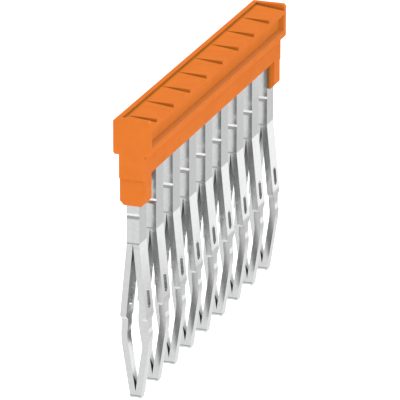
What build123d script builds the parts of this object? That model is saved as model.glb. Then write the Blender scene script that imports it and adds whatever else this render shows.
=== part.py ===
from build123d import *
import os

# All lengths in mm. X runs along the bar, Z is up, Z = 0 is the underside of the moulded body.

# Row of contacts
poles = 9
pitch = 3.5
sheet = 0.48
pin_width = 1.54

# Moulded bar
end_margin = 0.19
head_width = 2.8
head_top = 4.3
head_edge = 0.15
body_width = 1.94
ledge_z = 1.62
ledge_round_share = 0.46
end_plate = 0.46

# Finger groove in the front of the head
groove_depth = 0.47
groove_z = (2.206, 3.513)
groove_rise = 0.114

# Shallow tray in the top with one sloping pocket for each pole
rim_inner_y = 0.88
tray_depth = 0.185
pocket_length = 1.09
pocket_drop = 0.245
pocket_offset = 0.5

# End legs
leg_length = 1.32
leg_bottom = -2.23
leg_inset = 0.16
leg_toe = 0.3
leg_step_z = -0.14
leg_step = 0.14

# Slot for the contact strips
strip_top = 3.1
strip_bottom = 0.35
pin_relief = 0.25

# Side shape of one contact, outer face, from the body down to the tip
split_z = -5.11
knee_z = -10.69
knee_y = 1.02
neck_z = -11.66
belly_z = -12.12
belly_y = 1.08
taper_z = -12.77
tip_z = -17.27
tip_y = 0.4
bend_radii = [1, 4, 1, 0.6, 5]

# Front shape of one contact
shoulder_z = -10.84
shoulder = 0.3
leg_width = 0.8
tip_bevel = 0.1
tip_bevel_rise = 0.18
slot_width = 0.58
slot_length = 1.45
slot_z = -9.465
notch_z = -3.033
notch_height = 0.42
notch_depth = 0.1
fold_height = 0.12
fold_depth = 0.04
press_z = -5.38
press_height = 0.26
press_depth = 0.017
tip_mark_z = -17.03
tip_mark_height = 0.1
tip_mark_depth = 0.035

# Lengths that follow from those above
half_bar = (poles - 1) * pitch / 2 + pin_width / 2 + end_margin
half_tray = half_bar - end_plate
half_strip = half_bar - end_margin - pin_relief
pin_centres = [(i - (poles - 1) / 2) * pitch for i in range(poles)]


def along_bar(corners, half_length):
    """Solid of a (Y, Z) outline drawn the length of the bar."""
    face = make_face(Plane.YZ * Polyline(*corners, close=True))
    return extrude(face, half_length, both=True)


def across_bar(corners, half_width):
    """Solid of an (X, Z) outline drawn across the bar, the same to both sides."""
    face = make_face(Plane.XZ * Polyline(*corners, close=True))
    return extrude(face, half_width, both=True)


def groove_across(edge, side, z, height, depth):
    """Cutter for a V groove across a pin's edge, which is at X = edge and looks to the given side."""
    clear = 0.1
    outer = edge + side * clear
    reach = height / 2 * (clear + depth) / depth
    return across_bar([(outer, z + reach), (edge - side * depth, z), (outer, z - reach)], 3)


def box_between(x, y, z):
    """Box between two limits on each axis."""
    size = (x[1] - x[0], y[1] - y[0], z[1] - z[0])
    return Pos((x[0] + x[1]) / 2, (y[0] + y[1]) / 2, (z[0] + z[1]) / 2) * Box(*size)


# Moulded housing: T-shaped bar with a round under each edge of the head
front, back = -head_width / 2, head_width / 2
half_body = body_width / 2
bar_outline = [
    (-half_body, 0),
    (-half_body, ledge_z),
    (front, ledge_z),
    (front, head_top - head_edge),
    (front + head_edge, head_top),
    (back - head_edge, head_top),
    (back, head_top - head_edge),
    (back, ledge_z),
    (half_body, ledge_z),
    (half_body, 0),
]
bar = along_bar(bar_outline, half_bar)
bar_edges = bar.edges().filter_by(Axis.X)
under_edges = [bar_edges.sort_by_distance((0, y, ledge_z))[0] for y in (front, back)]
bar = fillet(under_edges, ledge_round_share * (back - half_body))

# End legs, with the small step where each hangs from the body
leg_outer = half_bar - leg_inset
leg_outline = [
    (leg_outer - leg_length, 0),
    (half_bar, 0),
    (half_bar, leg_step_z),
    (leg_outer, leg_step_z - leg_step),
    (leg_outer, leg_bottom),
    (leg_outer - leg_length, leg_bottom),
]
leg = across_bar(leg_outline, half_body)
leg = chamfer(leg.edges().filter_by(Axis.X).group_by(Axis.Z)[0], leg_toe)
housing = bar + leg + mirror(leg, Plane.YZ)

# Groove, open to the front, with a floor that falls outwards
groove_back = front + groove_depth
groove_outline = [
    (front - 1, groove_z[0] - groove_rise / groove_depth),
    (groove_back, groove_z[0] + groove_rise),
    (groove_back, groove_z[1]),
    (front - 1, groove_z[1]),
]
housing -= along_bar(groove_outline, half_tray)

# Tray and pockets: each pocket falls to the front and ends at an upright wall
tray_z = head_top - tray_depth
housing -= box_between((-half_tray, half_tray), (front - 1, rim_inner_y), (tray_z, head_top + 1))
pocket_slope = pocket_drop / (rim_inner_y - front)
for centre in pin_centres:
    wall = centre + pocket_offset
    start = max(wall - pocket_length, -half_tray)
    pocket_outline = [
        (rim_inner_y, tray_z),
        (front - 1, tray_z - pocket_slope * (rim_inner_y - front + 1)),
        (front - 1, tray_z + 1),
        (rim_inner_y, tray_z + 1),
    ]
    pocket = along_bar(pocket_outline, (wall - start) / 2)
    housing -= Pos((wall + start) / 2, 0, 0) * pocket

# Slot that both contact strips fill, open below and on the inner side of each leg
housing -= box_between((-half_strip, half_strip), (-sheet, sheet), (leg_bottom - 1, strip_top))

# Contact strip, seen from the side: one bent sheet that bows away from its twin
outer_face = FilletPolyline(
    (sheet, strip_top),
    (sheet, split_z),
    (knee_y, knee_z),
    (knee_y, neck_z),
    (belly_y, belly_z),
    (belly_y, taper_z),
    (tip_y, tip_z),
    radius=bend_radii,
)
bent_face = make_face(Plane.YZ * offset(outer_face, sheet, side=Side.RIGHT, closed=True))
bent_sheet = extrude(bent_face, half_bar, both=True)

# The same strip, seen from the front: a hidden strap with pins that narrow below a pair of shoulders
blank = box_between((-half_strip, half_strip), (0, 2), (strip_bottom, strip_top))
half_pin, half_leg = pin_width / 2, leg_width / 2
for centre in pin_centres:
    pin_outline = [
        (centre - half_pin, strip_top),
        (centre - half_pin, shoulder_z),
        (centre - half_leg, shoulder_z - shoulder),
        (centre - half_leg, tip_z + tip_bevel_rise),
        (centre - half_leg + tip_bevel, tip_z),
        (centre + half_leg - tip_bevel, tip_z),
        (centre + half_leg, tip_z + tip_bevel_rise),
        (centre + half_leg, shoulder_z - shoulder),
        (centre + half_pin, shoulder_z),
        (centre + half_pin, strip_top),
    ]
    blank += across_bar(pin_outline, 2)
    for side in (-1, 1):
        edge = centre + side * half_pin
        blank -= groove_across(edge, side, notch_z, notch_height, notch_depth)
        blank -= groove_across(edge, side, split_z, fold_height, fold_depth)
        tip_edge = centre + side * half_leg
        blank -= groove_across(tip_edge, side, tip_mark_z, tip_mark_height, tip_mark_depth)
    slot = SlotOverall(slot_length, slot_width, rotation=90)
    blank -= Pos(centre, 0, slot_z) * extrude(Plane.XZ * slot, 3, both=True)

# Only the end pins are narrower inside the housing, which leaves them a shoulder under each leg
for side in (-1, 1):
    inner, outer = side * half_strip, side * half_bar
    blank -= box_between((min(inner, outer), max(inner, outer)), (-3, 3), (leg_bottom, strip_top + 1))

near_side = box_between((-half_bar, half_bar), (0, 2), (tip_z - 1, strip_top + 1))
contact_rear = bent_sheet & blank & near_side
contact_front = mirror(contact_rear, Plane.XZ)

# The front strip alone has a second mark under its fold
for centre in pin_centres:
    for side in (-1, 1):
        edge = centre + side * half_pin
        contact_front -= groove_across(edge, side, press_z, press_height, press_depth)

os.makedirs("parts", exist_ok=True)
nodes = {"housing": housing, "contact_strip_front": contact_front, "contact_strip_rear": contact_rear}
for name, shape in nodes.items():
    solids = shape.solids()
    box = shape.bounding_box()
    print(name, len(solids), "solid", round(shape.volume, 3), "mm3", box.min, box.max)
    export_step(solids[0], f"parts/{name}.step")
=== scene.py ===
# %% [markdown]
# # A plug-in jumper bar for terminal blocks
#
# The object is a thumb-sized electrical part. An orange moulded bar holds a row of sprung contacts, each made of
# two tin-plated leaves that bow apart and meet again at the tip. The solids come from the CAD model already in
# their final shape, so this script has three jobs: give them real finishes, light them, and place a camera.

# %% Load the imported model
import math

import bpy
import numpy as np
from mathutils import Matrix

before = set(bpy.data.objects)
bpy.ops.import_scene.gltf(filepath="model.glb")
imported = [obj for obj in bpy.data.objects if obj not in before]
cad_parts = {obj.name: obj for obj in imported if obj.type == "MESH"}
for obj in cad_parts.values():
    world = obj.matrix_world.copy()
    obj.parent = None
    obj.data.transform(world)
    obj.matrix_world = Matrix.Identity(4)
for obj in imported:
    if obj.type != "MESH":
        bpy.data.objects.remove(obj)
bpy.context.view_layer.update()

MM = 0.001  # Blender counts in metres
WHITE = (1, 1, 1, 1)

# %% [markdown]
# ## The camera
#
# A long lens from a third of a metre away flattens the perspective, as in a catalogue picture. It could be aimed
# with a Track To constraint, but three measured directions say the same thing exactly: which way is right in the
# picture, which way is up, and which way the lens looks. The camera's own axes point right, up and backwards, and
# its place is so many millimetres along each of the three directions from the first contact.


# %% Place an object by its axes
def stand(thing, x_axis, y_axis, z_axis, place):
    """Turn a thing so that its own axes point these three ways, put it at a place in metres, and link it."""
    matrix = np.eye(4)
    for column, direction in enumerate((x_axis, y_axis, z_axis, place)):
        matrix[:3, column] = direction
    thing.matrix_world = matrix.T.tolist()
    bpy.context.scene.collection.objects.link(thing)


# %% Camera from three directions
turn = math.radians(19.876)
tilt = math.radians(19.906)
right = np.array([math.sin(turn), -math.cos(turn), 0.0])
up = np.array([math.cos(turn) * math.sin(tilt), math.sin(turn) * math.sin(tilt), math.cos(tilt)])
look = np.array([math.cos(turn) * math.cos(tilt), math.sin(turn) * math.cos(tilt), -math.sin(tilt)])

first_contact = np.array([-14.77, 0.0, -3.14])
to_the_right, upwards, backwards = 4.819, 1.279, 334.3
camera_place = first_contact + to_the_right * right + upwards * up - backwards * look

picture_width = 400  # pixels
focal_length = 4666  # measured in the same pixels
lens = bpy.data.cameras.new("catalogue_lens")
lens.sensor_width = 36
lens.lens = focal_length / picture_width * lens.sensor_width
lens.clip_start = 10 * MM
camera = bpy.data.objects.new("catalogue_camera", lens)
stand(camera, right, up, -look, camera_place * MM)
bpy.context.scene.camera = camera
print("camera", np.round(camera_place, 1), "mm, lens", round(lens.lens, 1), "mm")

# %% [markdown]
# ## Helpers for node materials
#
# Every finish below is a small chain of shader nodes. Wired by hand in the editor, such a chain is hard to read
# afterwards. These helpers add one node each and wire its inputs by name, so a finish becomes a list of steps.
# They work on a world as well as on a material, because both own a node tree.


# %% Make a material and add nodes
def new_material(name):
    """Empty material with a Principled shader wired to its output."""
    material = bpy.data.materials.new(name)
    material.use_nodes = True
    nodes = material.node_tree.nodes
    nodes.clear()
    shader = nodes.new("ShaderNodeBsdfPrincipled")
    output = nodes.new("ShaderNodeOutputMaterial")
    material.node_tree.links.new(shader.outputs[0], output.inputs["Surface"])
    return material, shader


def connect(material, value, socket):
    """Wire an output socket to an input, or write a number or a colour into it."""
    if isinstance(value, bpy.types.NodeSocket):
        material.node_tree.links.new(value, socket)
    else:
        socket.default_value = value


def add(material, kind, settings=None, **wires):
    """Add a node. A wire is a number, a colour or another node's output socket."""
    node = material.node_tree.nodes.new("ShaderNode" + kind)
    for key, value in (settings or {}).items():
        setattr(node, key, value)
    for key, value in wires.items():
        connect(material, value, node.inputs[key.replace("_", " ")])
    return node


# %% Steps that finishes share
def calculate(material, operation, first, second=0.0):
    """Math node: one operation on two values."""
    node = add(material, "Math", {"operation": operation})
    connect(material, first, node.inputs[0])
    connect(material, second, node.inputs[1])
    return node.outputs[0]


def combine(material, operation, first, second=(0.0, 0.0, 0.0)):
    """Vector Math node that gives one number, such as a length or a dot product, from two vectors."""
    node = add(material, "VectorMath", {"operation": operation})
    connect(material, first, node.inputs[0])
    connect(material, second, node.inputs[1])
    return node.outputs["Value"]


def fade(material, value, start, end, before, after, interpolation="SMOOTHSTEP"):
    """The result is 'before' until the value reaches start, and runs to 'after' while it goes on to end."""
    node = add(material, "MapRange", {"interpolation_type": interpolation}, Value=value,
               From_Min=start, From_Max=end, To_Min=before, To_Max=after)
    return node.outputs["Result"]


def ramp(material, factor, low, high, start=0.0, end=1.0):
    """Colour that runs from low to high while the factor runs from start to end."""
    node = add(material, "ValToRGB", Fac=factor)
    for element, position, colour in zip(node.color_ramp.elements, (start, end), (low, high)):
        element.position = position
        element.color = (*colour, 1)
    return node.outputs["Color"]


def noise(material, scale, detail, roughness):
    """Value of a noise pattern on Object coordinates. The scale is in waves per metre."""
    coordinates = add(material, "TexCoord").outputs["Object"]
    return add(material, "TexNoise", Vector=coordinates, Scale=scale, Detail=detail, Roughness=roughness).outputs[0]


# A Mix node has a set of sockets for every kind of value. These are the ones for colours.
COLOUR_A, COLOUR_B, COLOUR_RESULT = 6, 7, 2


def blend(material, share, tint, colour):
    """The tint where the share is 0, and the colour where it is 1."""
    mix = add(material, "Mix", {"data_type": "RGBA"}, Factor=share)
    connect(material, tint, mix.inputs[COLOUR_A])
    connect(material, (*colour, 1), mix.inputs[COLOUR_B])
    return mix.outputs[COLOUR_RESULT]


def paint_recess_shade(material, tint, recess_shade_colour, reach, closed, open_air, share=1.0):
    """The tint, darkened to a painted shade colour where walls nearer than the reach close a place in."""
    # Painted shade: an Ambient Occlusion node finds the recesses, and the colour there is darkened.
    sky = add(material, "AmbientOcclusion", {"samples": 8}, Distance=reach).outputs["AO"]
    shut_in = fade(material, sky, closed, open_air, 1.0, 0.0, "LINEAR")
    return blend(material, calculate(material, "MULTIPLY", shut_in, share), tint, recess_shade_colour)


# %% [markdown]
# ## Orange moulded plastic
#
# The bar is filled polyamide straight from a spark-eroded mould: satin, with a very fine grain that only shows as
# a soft break-up of the shine. A picture of such a surface could be wrapped round it, but noise on Object
# coordinates sits still on the solid and needs no unwrapping. The colour hardly changes, so most of the work is
# done by roughness and a small bump.

# %% Clean plastic
clean_darker, clean_lighter = (0.84, 0.214, 0.034), (0.88, 0.230, 0.038)

plastic, shader = new_material("orange_moulding")
cloud = noise(plastic, scale=700.0, detail=3.0, roughness=0.5)
grain = noise(plastic, scale=9000.0, detail=2.0, roughness=0.6)
tint = ramp(plastic, cloud, clean_darker, clean_lighter, start=0.35, end=0.65)
print("clean plastic runs from", clean_darker, "to", clean_lighter)

# %% [markdown]
# Shade is painted into the recesses. An Ambient Occlusion node finds those places by the walls around them, and
# the colour there is painted darker and browner. The groove is wide, so its painted shade is pale and reaches far
# from the corner. The pockets, the rim of the tray and the small steps catch more, so theirs is dark and keeps
# within a third of a millimetre.
# The height on the bar tells which of the two it is. The up-facing floor of the groove gets a paler, greyer tone
# of painted shade of its own.

# %% Where the groove is, and where its floor gets painted shade
groove_starts, groove_ends = (1.9 * MM, 2.1 * MM), (3.6 * MM, 3.8 * MM)

coordinates = add(plastic, "TexCoord")
height = add(plastic, "SeparateXYZ", Vector=coordinates.outputs["Object"]).outputs["Z"]
upward = add(plastic, "SeparateXYZ", Vector=coordinates.outputs["Normal"]).outputs["Z"]
above_ledge = fade(plastic, height, *groove_starts, 0.0, 1.0)
below_rim = fade(plastic, height, *groove_ends, 1.0, 0.0)
in_groove = calculate(plastic, "MULTIPLY", above_ledge, below_rim)
not_groove = calculate(plastic, "SUBTRACT", 1.0, in_groove)
level_ground = fade(plastic, upward, 0.5, 0.9, 0.0, 1.0)
groove_floor_shade = calculate(plastic, "MULTIPLY", in_groove, level_ground)
print("groove from", groove_starts, "to", groove_ends, "m")

# %% Painted shade in the recesses, and on the floor of the groove
# Each recess has a painted shade tone, how far it looks for walls, and the shares of open sky at which its painted
# shade is full and at which it is gone.
groove_shade_tone, groove_reach, groove_sky = (0.71, 0.285, 0.045), 1.3 * MM, (0.56, 0.80)
pocket_shade_tone, pocket_reach, pocket_sky = (0.36, 0.17, 0.024), 0.3 * MM, (0.52, 0.97)
groove_floor_shade_tone = (0.76, 0.30, 0.080)

# Painted shade in the groove, pale and reaching far from the corner.
tint = paint_recess_shade(plastic, tint, groove_shade_tone, groove_reach, *groove_sky, in_groove)
# Painted shade: a paler, greyer tone on the up-facing floor of the groove.
tint = blend(plastic, groove_floor_shade, tint, groove_floor_shade_tone)
# Painted shade in the pockets, on the rim of the tray and on the small steps, dark and close to the walls.
tint = paint_recess_shade(plastic, tint, pocket_shade_tone, pocket_reach, *pocket_sky, not_groove)
print("dullness reaches", groove_reach, "m in the groove and", pocket_reach, "m elsewhere")

# %% Skin of the moulded bar
roughness_low, roughness_high = 0.50, 0.62

skin = add(plastic, "Bump", Strength=0.15, Distance=0.02 * MM, Height=grain)
satin = fade(plastic, grain, 0.3, 0.7, roughness_low, roughness_high, "LINEAR")
connect(plastic, tint, shader.inputs["Base Color"])
connect(plastic, satin, shader.inputs["Roughness"])
connect(plastic, skin.outputs["Normal"], shader.inputs["Normal"])
shader.inputs["IOR"].default_value = 1.5
shader.inputs["Specular IOR Level"].default_value = 0.02
print(plastic.name, "has", len(plastic.node_tree.nodes), "nodes")

# %% [markdown]
# ## Tin-plated contact strips
#
# The strips are stamped from copper alloy and plated with tin, a soft white metal. The rolled faces are nearly
# mirrors, with a fine mottle from the plating. The edges that the punch sheared are rougher, and blur what they
# mirror. Two materials on two sets of faces could say so, but the shape already does: only a sheared edge faces
# along the bar, so the X part of the surface's own direction picks it out. Deep between the leaves the same
# recess helper as above paints shade, and darkens the tin there.

# %% Colour of the contact strips
tin_darker, tin_lighter = (0.63, 0.633, 0.637), (0.69, 0.693, 0.697)
deep_shade_tone, deep_reach, deep_sky = (0.18, 0.18, 0.183), 0.6 * MM, (0.25, 0.7)

tin, shader = new_material("tin_plate")
mottle = noise(tin, scale=4500.0, detail=3.0, roughness=0.6)
bloom = noise(tin, scale=900.0, detail=2.0, roughness=0.5)
tint = ramp(tin, mottle, tin_darker, tin_lighter, start=0.3, end=0.7)
# Painted shade: the tin turns dark deep between the leaves.
tint = paint_recess_shade(tin, tint, deep_shade_tone, deep_reach, *deep_sky)
print("tin runs from", tin_darker, "to", tin_lighter, "and to", deep_shade_tone, "deep between the leaves")

# %% Shine of the contact strips
roughness_low, roughness_high, sheared_extra = 0.10, 0.15, 0.06
least_along_bar = 0.3

coordinates = add(tin, "TexCoord")
facing = add(tin, "SeparateXYZ", Vector=coordinates.outputs["Normal"]).outputs["X"]
along_bar = calculate(tin, "ABSOLUTE", facing)
sheared = calculate(tin, "GREATER_THAN", along_bar, least_along_bar)
rolled_face = fade(tin, bloom, 0.3, 0.7, roughness_low, roughness_high, "LINEAR")
sheared_part = calculate(tin, "MULTIPLY", sheared, sheared_extra)
dullness = calculate(tin, "ADD", rolled_face, sheared_part)

skin = add(tin, "Bump", Strength=0.1, Distance=0.005 * MM, Height=mottle)
connect(tin, tint, shader.inputs["Base Color"])
connect(tin, dullness, shader.inputs["Roughness"])
connect(tin, skin.outputs["Normal"], shader.inputs["Normal"])
shader.inputs["Metallic"].default_value = 1.0
print(tin.name, "has", len(tin.node_tree.nodes), "nodes")

# %% Put the finishes on the solids
finishes = {"housing": plastic, "contact_strip_front": tin, "contact_strip_rear": tin}
for name, material in finishes.items():
    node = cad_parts[name]
    node.data.materials.clear()
    node.data.materials.append(material)
    print(name, "->", material.name, len(node.data.polygons), "faces")

# %% [markdown]
# ## The floor
#
# The bar is a held part, shown as if it hung in the air, so the floor lies far enough below its tips that the
# shadow falls out of the picture. One big quad would do. A level grid worked out from two parameters is as short
# to write, and it can be bent later.


# %% Floor sheet
def sheet_mesh(name, width, depth, height, steps=9):
    """Level grid: x runs with the first parameter, y with the second, and z is the height everywhere."""
    s, t = np.meshgrid(np.linspace(-0.5, 0.5, steps), np.linspace(-0.5, 0.5, steps), indexing="ij")
    points = np.stack([s * width, t * depth, np.full_like(s, height)], axis=-1).reshape(-1, 3)
    index = np.arange(steps * steps).reshape(steps, steps)
    corners = [index[:-1, :-1], index[1:, :-1], index[1:, 1:], index[:-1, 1:]]
    quads = np.stack(corners, axis=-1).reshape(-1, 4)
    mesh = bpy.data.meshes.new(name)
    mesh.from_pydata(points.tolist(), [], quads.tolist())
    mesh.update()
    return mesh


floor_size, floor_level = 6.0, -0.25
floor = bpy.data.objects.new("pale_floor", sheet_mesh("pale_floor", floor_size, floor_size, floor_level))
bpy.context.scene.collection.objects.link(floor)
print("floor", len(floor.data.polygons), "faces")

# %% [markdown]
# ## What the metal mirrors
#
# A mirror has no colour of its own: it shows its surroundings. In a white room without any contrast these
# contacts would vanish, so whoever photographs metal lays grey cards beside it. Here the cards are painted on the
# floor. They are two wedges, one on each end of a line under the camera's line of sight. A face that mirrors the
# floor once shows white paper, and a pair of faces that mirror each other show a grey wedge. Close under the part
# there is plain paper again.

# %% Grey cards, in metres from under the middle of the bar
card_line = (math.cos(turn), math.sin(turn), 0.0)
card_grey, far_grey = 0.35, 0.75
wedge_edge, wedge_core = 0.85, 0.99  # cosines of the angle between a place and the card line
far_begins, far_ends = 0.48, 0.62
middle_radius, middle_edge = 0.20, 0.27

paper, shader = new_material("white_paper")
shader.inputs["Roughness"].default_value = 0.9
position = add(paper, "SeparateXYZ", Vector=add(paper, "TexCoord").outputs["Object"])
level = add(paper, "CombineXYZ", X=position.outputs["X"], Y=position.outputs["Y"]).outputs["Vector"]
distance = combine(paper, "LENGTH", level)

along_cards = calculate(paper, "ABSOLUTE", combine(paper, "DOT_PRODUCT", level, card_line))
cosine = calculate(paper, "DIVIDE", along_cards, distance)
cards = fade(paper, cosine, wedge_edge, wedge_core, 1.0, card_grey)
# Painted reflection: from about half a metre out along the bar the paper turns grey, but only in what the metal
# mirrors.
far_edge = fade(paper, position.outputs["X"], far_begins, far_ends, 1.0, far_grey)
plain_middle = fade(paper, distance, middle_radius, middle_edge, 1.0, 0.0)
print("grey cards along", np.round(card_line, 3))

# %% [markdown]
# Two small bright spots glow on the plain middle. They are no lamps: only mirrored rays see them, so they are
# painted highlights in the metal. One paints a highlight on the notches of the stamping. The other paints one on
# its shoulders, and is brighter since it reaches them by way of two mirrors.

# %% Painted highlights: bright spots that only the metal mirrors
notch_spot_place, notch_spot_strength = (-0.096, 0.089, 0.0), 1.5
shoulder_spot_place, shoulder_spot_strength = (-0.165, 0.100, 0.0), 2.4
spot_radius, spot_edge = 0.025, 0.042


def painted_highlight_spot(place, strength):
    """Round glowing spot on the paper, a painted highlight for the metal, which fades out from its radius to its
    edge.
    """
    return fade(paper, combine(paper, "DISTANCE", level, place), spot_radius, spot_edge, strength, 0.0)


# Painted highlights on the notches and on the shoulders of the contacts.
notch_highlight = painted_highlight_spot(notch_spot_place, notch_spot_strength)
shoulder_highlight = painted_highlight_spot(shoulder_spot_place, shoulder_spot_strength)

surroundings = calculate(paper, "MULTIPLY", cards, far_edge)
for lighter in (plain_middle, notch_highlight, shoulder_highlight):
    surroundings = calculate(paper, "MAXIMUM", surroundings, lighter)
print("bright spots at", notch_spot_place, "and", shoulder_spot_place)

# %% [markdown]
# None of this may be seen directly. A Light Path node tells what kind of ray has reached the floor, and only
# mirrored rays find the cards. For the camera the paper is plain white.

# %% One paper for mirrored rays, another for the camera
paper_grey, black = (0.8, 0.8, 0.8), (0, 0, 0)

path = add(paper, "LightPath").outputs
mirrored = calculate(paper, "MULTIPLY", path["Is Glossy Ray"], surroundings)
seen = calculate(paper, "MAXIMUM", path["Is Camera Ray"], path["Is Transmission Ray"])
glow = calculate(paper, "MAXIMUM", seen, mirrored)
connect(paper, glow, shader.inputs["Emission Strength"])
connect(paper, WHITE, shader.inputs["Emission Color"])
own_colour = ramp(paper, path["Is Glossy Ray"], paper_grey, black)
connect(paper, own_colour, shader.inputs["Base Color"])
floor.data.materials.append(paper)
print(paper.name, "has", len(paper.node_tree.nodes), "nodes")

# %% [markdown]
# ## Light
#
# The part is small, so even a hand-sized panel is a large soft light for it. The overhead panel lights the top of
# the bar. The side and end panels light its groove side and its near end, and gloss doesn't show them, so that
# the metal mirrors the paper alone. The far panel does the opposite: it is low behind the part, gives little
# light, and is what the sloping leaves and the kink above the belly mirror, which makes them the brightest metal.
# Together they stay at a plain level, at which each colour comes out about as it is written.


# %% A panel that faces its target
def panel(name, place, target, size, watts):
    """Square area lamp at a place, turned to face a target, both in metres."""
    light = bpy.data.lights.new(name, "AREA")
    light.shape = "SQUARE"
    light.size = size
    light.energy = watts
    lamp = bpy.data.objects.new(name, light)
    place, target = np.array(place), np.array(target)
    back = (place - target) / np.linalg.norm(place - target)
    overhead = abs(back[2]) > 0.9
    guide = [0.0, 1.0, 0.0] if overhead else [0.0, 0.0, 1.0]
    side = np.cross(guide, back)
    side /= np.linalg.norm(side)
    stand(lamp, side, np.cross(back, side), back, place)
    print(name, size, "m,", watts, "W")
    return lamp


# %% Four panels: name, place, size, watts, and whether gloss shows it
middle = (0.0, 0.0, -0.006)
panels = [
    ("overhead_panel", (0.0, 0.0, 0.90), 0.80, 5.5, True),
    ("side_panel", (-0.22, -0.39, 0.03), 0.34, 1.1, False),
    ("end_panel", (-0.24, 0.03, -0.20), 0.18, 0.36, False),
    ("far_panel", (0.45, -0.23, -0.007), 0.31, 0.15, True),
]
for name, place, size, watts, in_gloss in panels:
    panel(name, place, middle, size, watts).visible_glossy = in_gloss

# %% [markdown]
# The world fills in the rest. It is white where the camera looks past the floor, and a middling grey in the metal,
# which gives the notches and folds their dark lower edge.

# %% World
grey_in_metal, fill_light = 0.55, 0.35

world = bpy.data.worlds.new("studio")
bpy.context.scene.world = world
world.use_nodes = True
background = world.node_tree.nodes["Background"]
path = add(world, "LightPath").outputs
seen = calculate(world, "MAXIMUM", path["Is Camera Ray"], path["Is Transmission Ray"])
mirrored = calculate(world, "MULTIPLY", path["Is Glossy Ray"], grey_in_metal)
strength = calculate(world, "MAXIMUM", calculate(world, "MAXIMUM", seen, mirrored), fill_light)
connect(world, strength, background.inputs["Strength"])
background.inputs["Color"].default_value = WHITE
bpy.context.scene.view_settings.view_transform = "Standard"
print("world gives", fill_light, "as light and", grey_in_metal, "in the metal")
